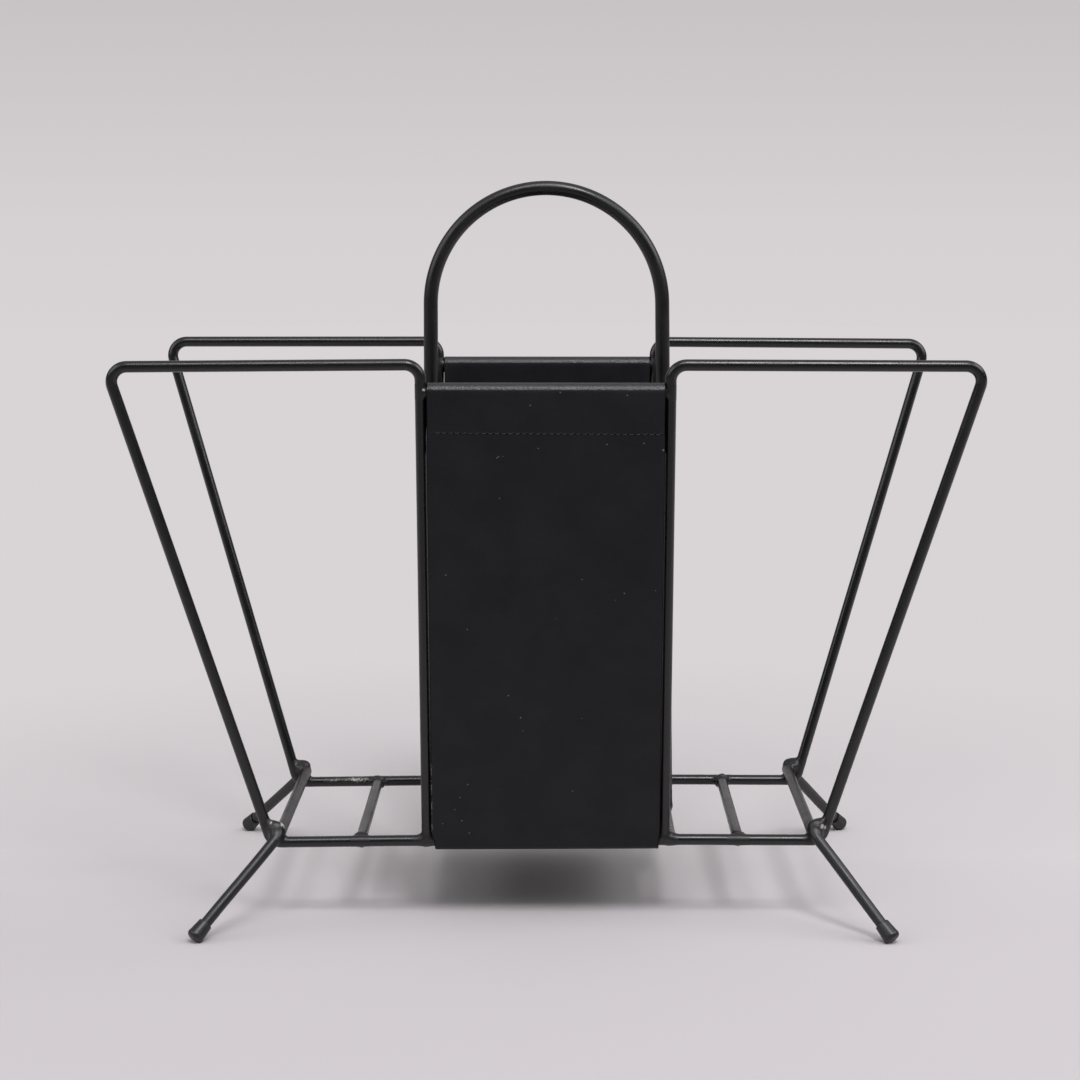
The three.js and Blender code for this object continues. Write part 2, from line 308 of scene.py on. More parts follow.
# Black air-drying lacquer on drawn steel wire, dipped after welding: dark and satin, with a faint orange peel
# of two-millimetre waves that break the highlights, specks of dust caught in it, and chips that show pale
# primer inside a darker rim
def dipped_lacquer(name, roughness=0.28, peel=0.045):
    material, tree, place = new_material(name)
    tone = add(tree, "TexNoise", {"Vector": place, "Scale": per(14), "Detail": 3.0})
    peel_wave = add(tree, "TexNoise", {"Vector": place, "Scale": per(2.2), "Detail": 2.0, "Roughness": 0.55})
    dust = add(tree, "TexVoronoi", {"Vector": place, "Scale": per(4.5), "Randomness": 1.0})
    nib = add(tree, "MapRange", {"Value": dust, 1: 0.02, 2: 0.09, 3: 1.0, 4: 0.0},
              interpolation_type="SMOOTHSTEP")
    ragged = add(tree, "TexNoise", {"Vector": place, "Scale": per(1.1), "Detail": 4.0, "Roughness": 0.65})
    wear = add(tree, "Attribute", attribute_name="wear").outputs["Fac"]
    reach = add(tree, "Math", {0: wear, 1: ragged}, operation="ADD")
    chip = add(tree, "MapRange", {"Value": reach, 1: 1.0, 2: 1.3, 3: 0.0, 4: 1.0})
    shade = add(tree, "ValToRGB", {"Fac": chip}, stops=[
        (0.0, "#070708"), (0.3, "#3A3733"), (0.55, "#87837A"), (1.0, "#B9B6AD")])
    mottle = add(tree, "MapRange", {"Value": tone, 1: 0.3, 2: 0.7, 3: roughness - 0.05, 4: roughness + 0.07})
    dull = add(tree, "MapRange", {"Value": chip, 1: 0.0, 2: 0.6, 3: 0.0, 4: 0.4})
    rough = add(tree, "Math", {0: mottle, 1: dull}, operation="ADD")
    peel_bump = add(tree, "Bump", {"Height": peel_wave, "Strength": 1.0, "Distance": peel * MM})
    nib_bump = add(tree, "Bump", {
        "Height": nib, "Strength": 1.0, "Distance": 0.06 * MM, "Normal": peel_bump})
    chip_bump = add(tree, "Bump", {
        "Height": chip, "Strength": 1.0, "Distance": 0.1 * MM, "Normal": nib_bump}, invert=True)
    shader = add(tree, "BsdfPrincipled", {
        "Base Color": shade, "Roughness": rough, "IOR": 1.5, "Specular IOR Level": 0.6, "Normal": chip_bump})
    add(tree, "OutputMaterial", {"Surface": shader})
    return material


# Black drum-dyed cowhide with a pigment finish, fine creases, dust specks, needle holes along the seams
# (their dark is painted shade) and rubbed places. Its pebble grain is drawn a millimetre wide, coarser than
# the real one, so that it shows. Its gloss is low where it hangs flat, and higher where it is rolled round a
# rod and burnished.
def finished_cowhide(name, gloss):
    material, tree, place = new_material(name)
    pebble = add(tree, "TexVoronoi", {"Vector": place, "Scale": per(1.1), "Randomness": 1.0})
    crease = add(tree, "TexNoise", {"Vector": place, "Scale": per(3.2), "Detail": 5.0, "Roughness": 0.6})
    grain = add(tree, "Math", {0: pebble, 1: crease}, operation="ADD")
    cloud = add(tree, "TexNoise", {"Vector": place, "Scale": per(26), "Detail": 4.0, "Roughness": 0.6})
    speck = add(tree, "TexVoronoi", {"Vector": place, "Scale": per(14), "Randomness": 1.0})
    dust = add(tree, "MapRange", {"Value": speck, 1: 0.02, 2: 0.035, 3: 1.0, 4: 0.0})
    # Specks at listed places: dust, and at the right edge partly a painted highlight of the lit cut edge
    for x, z, reach in LEATHER_SPECKS_AND_EDGE_HIGHLIGHT:
        up = (z - BASE_HEIGHT) / math.cos(FRAME_LEAN)
        there = Vector(in_frame(FRONT, x, up, WRAP_RADIUS + LEATHER_THICKNESS / 2)) * MM
        away = add(tree, "VectorMath", {0: place, 1: there}, operation="DISTANCE").outputs["Value"]
        spot = add(tree, "MapRange", {"Value": away, 1: 0.3 * reach * MM, 2: reach * MM, 3: 1.0, 4: 0.0})
        dust = add(tree, "Math", {0: dust, 1: spot}, operation="MAXIMUM")
    wear = add(tree, "Attribute", attribute_name="wear").outputs["Fac"]
    scuff_grain = add(tree, "TexNoise", {"Vector": place, "Scale": per(1.6), "Detail": 4.0, "Roughness": 0.7})
    scuff_reach = add(tree, "Math", {0: wear, 1: scuff_grain}, operation="ADD")
    scuff = add(tree, "MapRange", {"Value": scuff_reach, 1: 1.05, 2: 1.35, 3: 0.0, 4: 1.0})
    from_seam = add(tree, "Attribute", attribute_name="from_seam").outputs["Fac"]
    across = add(tree, "SeparateXYZ", {"Vector": place}).outputs["X"]
    uneven = add(tree, "TexNoise", {"Vector": place, "Scale": per(9)})
    shift = add(tree, "MapRange", {"Value": uneven, 1: 0.3, 2: 0.7, 3: -0.3, 4: 0.3})
    along_seam = add(tree, "Math", {0: across, 1: SEAM_START * MM}, operation="SUBTRACT")
    pitches = add(tree, "Math", {0: along_seam, 1: STITCH_PITCH * MM}, operation="DIVIDE")
    from_first = add(tree, "Math", {0: pitches, 1: 0.5}, operation="ADD")
    share = add(tree, "Math", {0: from_first}, operation="FRACT")
    centred = add(tree, "Math", {0: share, 1: 0.5}, operation="SUBTRACT")
    aside = add(tree, "Math", {0: centred, 1: STITCH_PITCH, 2: shift}, operation="MULTIPLY_ADD")
    narrowed = add(tree, "Math", {0: aside, 1: 0.6}, operation="MULTIPLY")
    offset = add(tree, "CombineXYZ", {"X": narrowed, "Y": from_seam})
    hole_distance = add(tree, "VectorMath", {0: offset}, operation="LENGTH").outputs["Value"]
    painted_dark_hole = add(tree, "MapRange", {"Value": hole_distance, 1: 0.25, 2: 0.5, 3: 1.0, 4: 0.0})
    dent = add(tree, "MapRange", {"Value": hole_distance, 1: 0.1, 2: 1.1, 3: 1.0, 4: 0.0},
               interpolation_type="SMOOTHSTEP")
    tone = add(tree, "ValToRGB", {"Fac": cloud}, stops=[(0.3, "#1C1C1E"), (0.7, "#222225")])
    # The needle holes are painted near-black: painted shade for the dark inside each hole
    with_painted_hole_shade = add(tree, "MixRGB", {"Fac": painted_dark_hole, "Color1": tone, "Color2": colour("#020202")})
    # Pale specks: dust, and at the right edge a painted highlight on the cut edge as well
    specked_and_edge_lit = add(tree, "MixRGB", {"Fac": dust, "Color1": with_painted_hole_shade, "Color2": colour("#6A6A68")})
    shade = add(tree, "MixRGB", {"Fac": scuff, "Color1": specked_and_edge_lit, "Color2": colour("#6C6A66")})
    finish = add(tree, "MapRange", {"Value": cloud, 1: 0.3, 2: 0.7, 3: 0.37, 4: 0.44})
    rough = add(tree, "Math", {0: finish, 1: painted_dark_hole}, operation="MAXIMUM")
    wrinkle = add(tree, "TexNoise", {"Vector": place, "Scale": per(1.5), "Detail": 3.0, "Roughness": 0.6})
    wrinkle_bump = add(tree, "Bump", {"Height": wrinkle, "Strength": 1.0, "Distance": 0.35 * gloss * MM})
    grain_bump = add(tree, "Bump", {
        "Height": grain, "Strength": 1.0, "Distance": 0.09 * MM, "Normal": wrinkle_bump})
    dent_bump = add(tree, "Bump", {
        "Height": dent, "Strength": 1.0, "Distance": 0.35 * MM, "Normal": grain_bump}, invert=True)
    shader = add(tree, "BsdfPrincipled", {
        "Base Color": shade, "Roughness": rough, "IOR": 1.48, "Specular IOR Level": gloss,
        "Normal": dent_bump})
    add(tree, "OutputMaterial", {"Surface": shader})
    return material


# The same hide where the knife cut it: matt, fibrous and a little brown
def cut_hide_edge():
    material, tree, place = new_material("cut_hide_edge")
    fibre = add(tree, "TexNoise", {"Vector": place, "Scale": per(1.2), "Detail": 5.0, "Roughness": 0.7})
    cut = add(tree, "ValToRGB", {"Fac": fibre}, stops=[(0.3, "#0B0A0A"), (0.75, "#1A1614")])
    wear = add(tree, "Attribute", attribute_name="wear").outputs["Fac"]
    rub_reach = add(tree, "Math", {0: wear, 1: fibre}, operation="ADD")
    rubbed = add(tree, "MapRange", {"Value": rub_reach, 1: 1.0, 2: 1.3, 3: 0.0, 4: 1.0})
    shade = add(tree, "MixRGB", {"Fac": rubbed, "Color1": cut, "Color2": colour("#8F8B84")})
    bump = add(tree, "Bump", {"Height": fibre, "Strength": 1.0, "Distance": 0.12 * MM})
    shader = add(tree, "BsdfPrincipled", {
        "Base Color": shade, "Roughness": 0.85, "IOR": 1.45, "Specular IOR Level": 0.1, "Normal": bump})
    add(tree, "OutputMaterial", {"Surface": shader})
    return material


# Black waxed polyester thread: two plies, with a slight gloss on each stitch
def waxed_thread():
    material, tree, place = new_material("waxed_thread")
    ply = add(tree, "TexWave", {"Vector": place, "Scale": per(6.0), "Distortion": 2.0},
              bands_direction="DIAGONAL")
    shade = add(tree, "ValToRGB", {"Fac": ply}, stops=[(0.0, "#1A1A1C"), (1.0, "#343436")])
    bump = add(tree, "Bump", {"Height": ply, "Strength": 1.0, "Distance": 0.05 * MM})
    shader = add(tree, "BsdfPrincipled", {"Base Color": shade, "Roughness": 0.5, "IOR": 1.5, "Normal": bump})
    add(tree, "OutputMaterial", {"Surface": shader})
    return material


# Moulded black rubber, a little bloomed: dark grey, soft highlights, greyer where it is dusty near the floor
def moulded_rubber():
    material, tree, place = new_material("moulded_rubber")
    bloom = add(tree, "TexNoise", {"Vector": place, "Scale": per(5), "Detail": 4.0, "Roughness": 0.6})
    height = add(tree, "SeparateXYZ", {"Vector": place}).outputs["Z"]
    low = add(tree, "MapRange", {"Value": height, 1: 0.0, 2: 3.5 * MM, 3: 0.5, 4: 0.0})
    dusty = add(tree, "Math", {0: bloom, 1: low}, operation="ADD")
    shade = add(tree, "ValToRGB", {"Fac": dusty}, stops=[(0.35, "#101012"), (1.0, "#262626")])
    bump = add(tree, "Bump", {"Height": bloom, "Strength": 1.0, "Distance": 0.09 * MM})
    shader = add(tree, "BsdfPrincipled", {
        "Base Color": shade, "Roughness": 0.37, "IOR": 1.52, "Normal": bump})
    add(tree, "OutputMaterial", {"Surface": shader})
    return material


# Paths and meshes

def unit(vector):
    return vector / np.linalg.norm(vector)


def bent_path(corners, radii=()):
    """Places along straight runs joined by round bends, from the corners before they are rounded."""
    corners = [np.array(corner, float) for corner in corners]
    runs = [[corners[0]]]
    for radius, before, corner, after in zip(radii, corners, corners[1:], corners[2:]):
        into, out = unit(corner - before), unit(after - corner)
        turn = math.acos(np.clip(into @ out, -1, 1))
        side = unit(out - into * (into @ out))
        start = corner - into * radius * math.tan(turn / 2)
        steps = np.clip(math.ceil(radius * turn / BEND_STEP), *BEND_STEPS)
        angles = np.linspace(0, turn, steps + 1)
        runs.append([start + radius * (side * (1 - math.cos(a)) + into * math.sin(a)) for a in angles])
    runs.append([corners[-1]])
    path = list(runs[0])
    for run in runs[1:]:
        length = np.linalg.norm(run[0] - path[-1])
        steps = max(1, math.ceil(length / RING_STEP))
        path += [path[-1] + (run[0] - path[-1]) * share for share in np.linspace(0, 1, steps + 1)[1:-1]]
        path += run if length > BEND_STEP / 10 else run[1:]
    return np.array(path)


def directions_along(path):
    ahead = np.diff(path, axis=0)
    ahead /= np.linalg.norm(ahead, axis=1)[:, None]
    middle = ahead[1:] + ahead[:-1]
    middle /= np.linalg.norm(middle, axis=1)[:, None]
    return np.vstack([ahead[:1], middle, ahead[-1:]])


def skin_over(rings, first, last):
    """The places and faces of a closed skin over rings of places, with a middle place at each end."""
    sides = len(rings[0])
    places = np.vstack(rings + [first[None], last[None]])
    faces = []
    for ring in range(len(rings) - 1):
        for side in range(sides):
            here, there = ring * sides + side, ring * sides + (side + 1) % sides
            faces.append((here, there, there + sides, here + sides))
    tail = (len(rings) - 1) * sides
    for side in range(sides):
        after = (side + 1) % sides
        faces.append((len(places) - 2, after, side))
        faces.append((len(places) - 1, tail + side, tail + after))
    return places, faces


def tube(path, radii, sides):
    """The places and faces of a closed round tube along a path, with its radius at each place."""
    directions = directions_along(path)
    start = unit(np.cross(directions[0], OFF_EVERY_ROD))
    angles = np.linspace(0, 2 * math.pi, sides, endpoint=False)
    rings = []
    for place, direction, radius in zip(path, directions, radii):
        start = unit(start - direction * (start @ direction))
        across = np.cross(direction, start)
        rings.append(place + radius * (np.cos(angles)[:, None] * start + np.sin(angles)[:, None] * across))
    return skin_over(rings, path[0], path[-1])


def smooth_share(values, low, high):
    share = np.clip((values - low) / (high - low), 0, 1)
    return share * share * (3 - 2 * share)


def settled(places):
    """Lets the base be out of true, lower at the left and at both ends, while the feet and the rim stay."""
    places = np.array(places, float)
    across, height = places[:, 0], places[:, 2]
    over_caps = smooth_share(height, CAP_LENGTH, BASE_HEIGHT)
    share = over_caps * (1 - smooth_share(height, BASE_HEIGHT, RIM_HEIGHT))
    crown = BASE_CROWN - BASE_DROOP * smooth_share(np.abs(across), UPRIGHTS_X[RIGHT], BASE_HALF_WIDTH)
    places[:, 2] += (BASE_TILT * across + crown) * share
    return places


def make_piece(name, places, faces, materials, stands_for=(), attributes=None, face_materials=None):
    """A smooth mesh object on the rack, which stands for the solids that it replaces."""
    mesh = bpy.data.meshes.new(name)
    mesh.from_pydata((settled(places) * MM).tolist(), [], [tuple(map(int, face)) for face in faces])
    for material in materials:
        mesh.materials.append(material)
    if face_materials is not None:
        mesh.polygons.foreach_set("material_index", face_materials)
    for title, values in (attributes or {}).items():
        attribute = mesh.attributes.new(title, "FLOAT", "POINT")
        attribute.data.foreach_set("value", np.asarray(values, np.float32))
    mesh.shade_smooth()
    piece = bpy.data.objects.new(name, mesh)
    bpy.context.scene.collection.objects.link(piece)
    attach(piece, "root")
    if stands_for:
        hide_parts(*stands_for)
    return piece


# Rods

def in_frame(end, x, up, out=0.0):
    """A place in the plane of the front or back frame: along it, up it and out of it."""
    y = BASE_HALF_DEPTH + up * math.sin(FRAME_LEAN) + out * math.cos(FRAME_LEAN)
    return (x, end * y, BASE_HEIGHT + up * math.cos(FRAME_LEAN) - out * math.sin(FRAME_LEAN))


def frame_path(end):
    foot = SEAT - WIRE_RADIUS - BITE
    left, right = [[(x, foot), (x, FRAME_LENGTH), (RIM_HALF_WIDTH, FRAME_LENGTH), (BASE_HALF_WIDTH, 0)]
                   for x in UPRIGHTS_X.values()]
    corners = [in_frame(end, -x, up) for x, up in left]
    corners += [in_frame(end, x, up) for x, up in reversed(right)]
    for place, offset in zip((2, 1, -2, -3), RIM_OFFSETS[end]):
        x, y, z = corners[place]
        corners[place] = (x, y, z + offset)
    bends = [UPRIGHT_BEND, RIM_BEND, BASE_BEND]
    return bent_path(corners, bends + bends[::-1])


def sling_rod_path(end):
    inset = WIRE_RADIUS - BITE
    return bent_path([in_frame(end, side * (x - inset), ROD_UP) for side, x in UPRIGHTS_X.items()])


def handle_path():
    top = HANDLE_HEIGHT - HANDLE_RADIUS
    foot = BASE_HEIGHT + WIRE_RADIUS - BITE
    corners, arches = [], []
    for side, foot_x in HANDLE_FEET_X.items():
        corner_x = side * HANDLE_CORNER_X + HANDLE_SHIFT
        lean = math.atan2(side * (side * foot_x - corner_x), top - foot)
        arches.append(HANDLE_CORNER_X / math.tan((math.pi / 2 - lean) / 2))
        corners += [(side * foot_x, 0, foot), (corner_x, 0, top)][::-side]
    return bent_path(corners, arches)


def bar_path(x):
    reach = BASE_HALF_DEPTH - WIRE_RADIUS + BITE
    return bent_path([(x, -reach, BASE_HEIGHT), (x, reach, BASE_HEIGHT)])


class Leg:
    """A leg's axis, from its bend to the floor, and where its cap and its wire end on it."""

    def __init__(self, side, end):
        spread_x, spread_y = LEG_SPREADS[side, end]
        self.top = np.array((side * BOW_X, end * BOW_CORNER_Y, BOW_HEIGHT))
        self.foot = np.array((side * (BOW_X + spread_x), end * (BOW_CORNER_Y + spread_y), 0.0))
        length = np.linalg.norm(self.foot - self.top)
        tilt = math.acos(BOW_HEIGHT / length)
        edge = (CAP_BASE_RADIUS - CAP_EDGE_RADIUS) * math.sin(tilt) + CAP_EDGE_RADIUS * (1 - math.cos(tilt))
        share = 1 - (edge - CAP_FLAT_DEPTH) / BOW_HEIGHT
        self.up = unit(self.top - self.foot)
        self.cap_base = self.top + (self.foot - self.top) * share
        self.wire_end = self.cap_base + self.up * CAP_FLOOR


def bow_path(side):
    front, back = Leg(side, FRONT), Leg(side, BACK)
    return bent_path([front.wire_end, front.top, back.top, back.wire_end], [LEG_BEND, LEG_BEND])


def make_rod(name, path, radius, material, stands_for):
    """A rod whose cut ends are slightly rounded."""
    ends = np.minimum(np.arange(len(path)), np.arange(len(path))[::-1])
    radii = np.where(ends == 0, radius - CUT_END_ROUNDING, radius + LACQUER_COAT)
    places, faces = tube(path, radii, WIRE_SIDES)
    return make_piece(name, places, faces, [material], stands_for,
                      {"wear": wear_at(name, places)})


def wear_at(name, places):
    """How worn a piece is at each of its places."""
    worn = np.zeros(len(places))
    for centre, reach, strength in WEAR.get(name, ()):
        distance = np.linalg.norm(places - np.array(centre), axis=1) / reach
        worn = np.maximum(worn, strength * np.clip(1 - distance, 0, 1))
    return worn


# Welds

def distance_to_run(points, run, radii):
    """How far each point is outside a rod that follows a run of places and has a radius at each."""
    best = np.full(len(points), np.inf)
    for start, end, radius, next_radius in zip(run, run[1:], radii, radii[1:]):
        along = end - start
        share = np.clip((points - start) @ along / (along @ along), 0, 1)
        away = np.linalg.norm(points - start - share[:, None] * along, axis=1)
        best = np.minimum(best, away - radius - share * (next_radius - radius))
    return best


def melt(one, other, fillet):
    """Joins two distance fields, with a fillet where they meet."""
    near = np.maximum(fillet - np.abs(one - other), 0) / fillet
    return np.minimum(one, other) - near * near * fillet / 4


def closed_skin(field, low, step):
    """The surface where a field on a grid is zero: a place in each cell, a face for each crossed edge."""
    inside = field < 0
    cells = np.array(field.shape) - 1
    corners = [(i, j, k) for i in (0, 1) for j in (0, 1) for k in (0, 1)]

    def corner_of(grid, c):
        return grid[c[0]:c[0] + cells[0], c[1]:c[1] + cells[1], c[2]:c[2] + cells[2]]

    count = sum(corner_of(inside, c).astype(int) for c in corners)
    active = (count > 0) & (count < 8)
    number = np.full(active.shape, -1)
    number[active] = np.arange(active.sum())
    total = np.zeros((active.sum(), 3))
    crossings = np.zeros(active.sum())
    for c in corners:
        for axis in range(3):
            if c[axis]:
                continue
            reach = np.eye(3, dtype=int)[axis]
            here, there = corner_of(field, c)[active], corner_of(field, np.array(c) + reach)[active]
            crossed = (here < 0) != (there < 0)
            share = np.where(crossed, here / np.where(crossed, here - there, 1), 0)
            total += crossed[:, None] * (np.array(c) + share[:, None] * reach)
            crossings += crossed
    places = low + step * (np.argwhere(active) + total / crossings[:, None])
    faces = []
    for axis in range(3):
        reach, one, two = (np.eye(3, dtype=int)[(axis + turn) % 3] for turn in range(3))
        first = inside[tuple(slice(None, -1) if i == axis else slice(None) for i in range(3))]
        second = inside[tuple(slice(1, None) if i == axis else slice(None) for i in range(3))]
        edges = np.argwhere(first != second)
        starts_inside = first[tuple(edges.T)]
        around = [number[tuple((edges - shift).T)] for shift in (one + two, two, 0 * one, one)]
        loop = np.stack(around, axis=1)
        loop[~starts_inside] = loop[~starts_inside][:, ::-1]
        faces.append(loop)
    return places, np.vstack(faces)


def runs_near(path, centre, reach):
    """The unbroken stretches of a path that lie within reach of a place."""
    near = np.linalg.norm(path - centre, axis=1) < reach
    breaks = np.flatnonzero(np.diff(near.astype(int)))
    return [run for run, kept in zip(np.split(path, breaks + 1), np.split(near, breaks + 1))
            if kept[0] and len(run) > 1]


class Weld:
    """The lacquered skin over a weld: rods that melt into each other near a place, with beads of filler."""

    def __init__(self, centre, rods, reach, fillet, beads=(), bead_fillet=BEAD_FILLET,
                 lump=LUMP_HEIGHT, seed=0):
        self.centre, self.reach, self.fillet = np.array(centre, float), reach, fillet
        self.beads, self.bead_fillet, self.lump, self.seed = beads, bead_fillet, lump, seed
        self.span = reach + max(radius for _, radius in rods)
        self.runs = []
        for path, radius in rods:
            for run in runs_near(path, self.centre, reach):
                away = np.linalg.norm(run - self.centre, axis=1) / reach
                fade = np.clip((away - SKIN_FADES_FROM) / (1 - SKIN_FADES_FROM), 0, 1)
                self.runs.append((run, radius + WELD_SKIN - (WELD_SKIN + SKIN_SINKS) * fade * fade))

    def field(self, points):
        """The distance to the skin at each point, and how much filler there is."""
        bare = [distance_to_run(points, run, radii) for run, radii in self.runs]
        joined = bare[0]
        for other in bare[1:]:
            joined = melt(joined, other, self.fillet)
        for place, radius in self.beads:
            joined = melt(joined, np.linalg.norm(points - place, axis=1) - radius, self.bead_fillet)
        return joined, np.minimum.reduce(bare) - joined

    def make(self, name, material, stands_for=()):
        low = self.centre - self.span - SKIN_GRID
        steps = math.ceil(2 * (self.span + SKIN_GRID) / SKIN_GRID)
        marks = [low[axis] + SKIN_GRID * np.arange(steps + 1) for axis in range(3)]
        grid = np.stack(np.meshgrid(*marks, indexing="ij"), axis=-1)
        field, _ = self.field(grid.reshape(-1, 3))
        places, faces = closed_skin(field.reshape(grid.shape[:3]), low, SKIN_GRID)
        _, filler = self.field(places)
        slope = np.stack([self.field(places + step)[0] - self.field(places - step)[0]
                          for step in SKIN_GRID / 10 * np.eye(3)], axis=1)
        slope /= np.linalg.norm(slope, axis=1)[:, None]
        shift = Vector((self.seed * LUMP_SEED_STEP, 0, 0))
        ripple = np.array([noise.noise(Vector(place / LUMP_SIZE) + shift) for place in places])
        places = places + slope * (self.lump * ripple * np.clip(filler / FULL_FILLER, 0, 1))[:, None]
        return make_piece(name, places, faces, [material], stands_for,
                          {"wear": wear_at(name, places)})


# Camera, floor and light

def set_up_camera():
    data = bpy.data.cameras.new("camera")
    data.sensor_width = SENSOR_WIDTH
    data.lens = FOCAL_PIXELS / IMAGE_PIXELS * SENSOR_WIDTH
    data.clip_start = 10 * MM
    camera = bpy.data.objects.new("camera", data)
    camera.location = Vector(CAMERA_PLACE) * MM
    camera.rotation_euler = (math.pi / 2 - CAMERA_DOWN, 0, CAMERA_TURN)
    bpy.context.scene.collection.objects.link(camera)
    bpy.context.scene.camera = camera


def where_shown(tree, backdrop):
    """How much of the pale studio a ray sees: the camera all, a reflection the backdrop, and light none."""
    path = add(tree, "LightPath")
    glossy, through = path.outputs["Is Glossy Ray"], path.outputs["Is Transmission Ray"]
    mirrors = add(tree, "Math", {0: glossy, 1: through}, operation="ADD")
    mirrored = add(tree, "Math", {0: mirrors, 1: backdrop}, operation="MULTIPLY")
    return add(tree, "Math", {0: mirrored, 1: path.outputs["Is Camera Ray"]}, operation="ADD", use_clamp=True)


def between(tree, distance, ends, **settings):
    """0 at the first of two distances in millimetres, and 1 at the second."""
    return add(tree, "MapRange", {"Value": distance, 1: ends[0] * MM, 2: ends[1] * MM}, **settings)


# Matt pale grey backdrop paper. The camera sees it on every side of the rack, and away from the rack it is as
# evenly bright as the studio wall. For light and reflections it ends a little in front of the rack.
def backdrop_paper():
    material, tree, place = new_material("backdrop_paper")
    away = add(tree, "VectorMath", {0: place}, operation="LENGTH").outputs["Value"]
    far = between(tree, away, PAPER_EVENS_OUT, interpolation_type="SMOOTHSTEP")
    depth = add(tree, "SeparateXYZ", {"Vector": place}).outputs["Y"]
    shown = where_shown(tree, between(tree, depth, MIRRORED_PAPER))
    glow = add(tree, "Math", {0: far, 1: shown}, operation="MULTIPLY")
    before = between(tree, depth, PAPER_SHADES)
    tone = add(tree, "ValToRGB", {"Fac": before}, stops=[
        (0.04, "#CFCAC9"), (0.18, "#C7C2C2"), (0.48, "#C2BDBD")])
    past = between(tree, depth, PAPER_ENDS)
    hidden = add(tree, "Math", {0: 1.0, 1: shown}, operation="SUBTRACT")
    unpapered = add(tree, "Math", {0: past, 1: hidden}, operation="MULTIPLY")
    ground = add(tree, "MixRGB", {"Fac": unpapered, "Color1": tone, "Color2": colour("#93918E")})
    paper = add(tree, "BsdfDiffuse", {"Color": ground})
    lit = add(tree, "Emission", {"Color": colour("#D9D4D6"), "Strength": 1.0})
    mixed = add(tree, "MixShader", {0: glow, 1: paper, 2: lit})
    add(tree, "OutputMaterial", {"Surface": mixed})
    return material


def make_backdrop():
    angles = np.linspace(0, 2 * math.pi, BACKDROP_SIDES, endpoint=False)
    places = [(BACKDROP_RADIUS * math.cos(a), BACKDROP_RADIUS * math.sin(a), 0.0) for a in angles]
    mesh = bpy.data.meshes.new("backdrop")
    mesh.from_pydata((np.array(places) * MM).tolist(), [], [tuple(range(len(places)))])
    mesh.materials.append(backdrop_paper())
    backdrop = bpy.data.objects.new("backdrop", mesh)
    bpy.context.scene.collection.objects.link(backdrop)


def add_soft_box(name, place, size, power):
    """An area lamp at a place, turned to the rack."""
    data = bpy.data.lights.new(name, "AREA")
    data.shape = "RECTANGLE"
    data.size, data.size_y = size[0] * MM, size[1] * MM
    data.energy = power
    data.color = colour(LAMP_COLOUR)[:3]
    lamp = bpy.data.objects.new(name, data)
    lamp.location = Vector(place) * MM
    lamp.rotation_euler = (Vector(LAMP_AIM) - Vector(place)).to_track_quat("-Z", "Y").to_euler()
    bpy.context.scene.collection.objects.link(lamp)


def set_up_light():
    for name, (place, size, power) in SOFT_BOXES.items():
        add_soft_box(name, place, size, power)
    world = bpy.data.worlds.new("studio")
    world.use_nodes = True
    tree = world.node_tree
    tree.nodes.clear()
    direction = add(tree, "SeparateXYZ", {"Vector": add(tree, "TexCoord").outputs["Generated"]})
    upward = direction.outputs["Z"]
    room = add(tree, "ValToRGB", {"Fac": upward}, stops=[
        (0.0, "#575659"), (0.3, "#626164"), (0.6, "#939296"), (1.0, "#D0D0D4")])
    back = add(tree, "MapRange", {"Value": direction.outputs["Y"], 1: 0.5, 2: 0.9},
               interpolation_type="SMOOTHSTEP")
    around = add(tree, "Background", {"Color": room, "Strength": 1.0})
    rise = add(tree, "MapRange", {"Value": upward, 1: -0.07, 2: 0.09})
    wall = add(tree, "ValToRGB", {"Fac": rise}, stops=[(0.0, "#D9D4D6"), (0.35, "#D6D1D3"), (1.0, "#C6C1C3")])
    backdrop = add(tree, "Background", {"Color": wall, "Strength": 1.0})
    mixed = add(tree, "MixShader", {0: where_shown(tree, back), 1: around, 2: backdrop})
    add(tree, "OutputWorld", {"Surface": mixed})
    bpy.context.scene.world = world


# Leather sling

def sling_path():
    """The middle of the strip, seen from the end of the rack, from one hem's end to the other's."""
    rod = np.array(in_frame(FRONT, 0, ROD_UP))

    def by(up, out):
        return rod + np.array(in_frame(FRONT, 0, up, out)) - np.array(in_frame(FRONT, 0, 0))

    hem_out = WRAP_RADIUS - LEATHER_THICKNESS - GAP
    slant = math.atan2(hem_out, HEM_OPENS_DROP)
    slant += math.asin(WRAP_RADIUS / math.hypot(HEM_OPENS_DROP, hem_out))
    inner_out = hem_out - (HEM_OPENS_DROP + WRAP_RADIUS) * math.tan(slant)
    top = by(WRAP_RADIUS, WRAP_RADIUS)
    fall = (top[2] - (BASE_HEIGHT - WRAP_RADIUS)) / math.cos(FRAME_LEAN)
    half = [by(-HEM_LENGTH, hem_out), by(-HEM_OPENS_DROP, hem_out), by(WRAP_RADIUS, inner_out), top,
            by(WRAP_RADIUS - fall, WRAP_RADIUS)]
    bends = [HEM_BEND, WRAP_RADIUS, WRAP_RADIUS, WRAP_RADIUS]
    other = [corner * (1, -1, 1) for corner in reversed(half)]
    return bent_path(half + other, bends + bends[::-1])


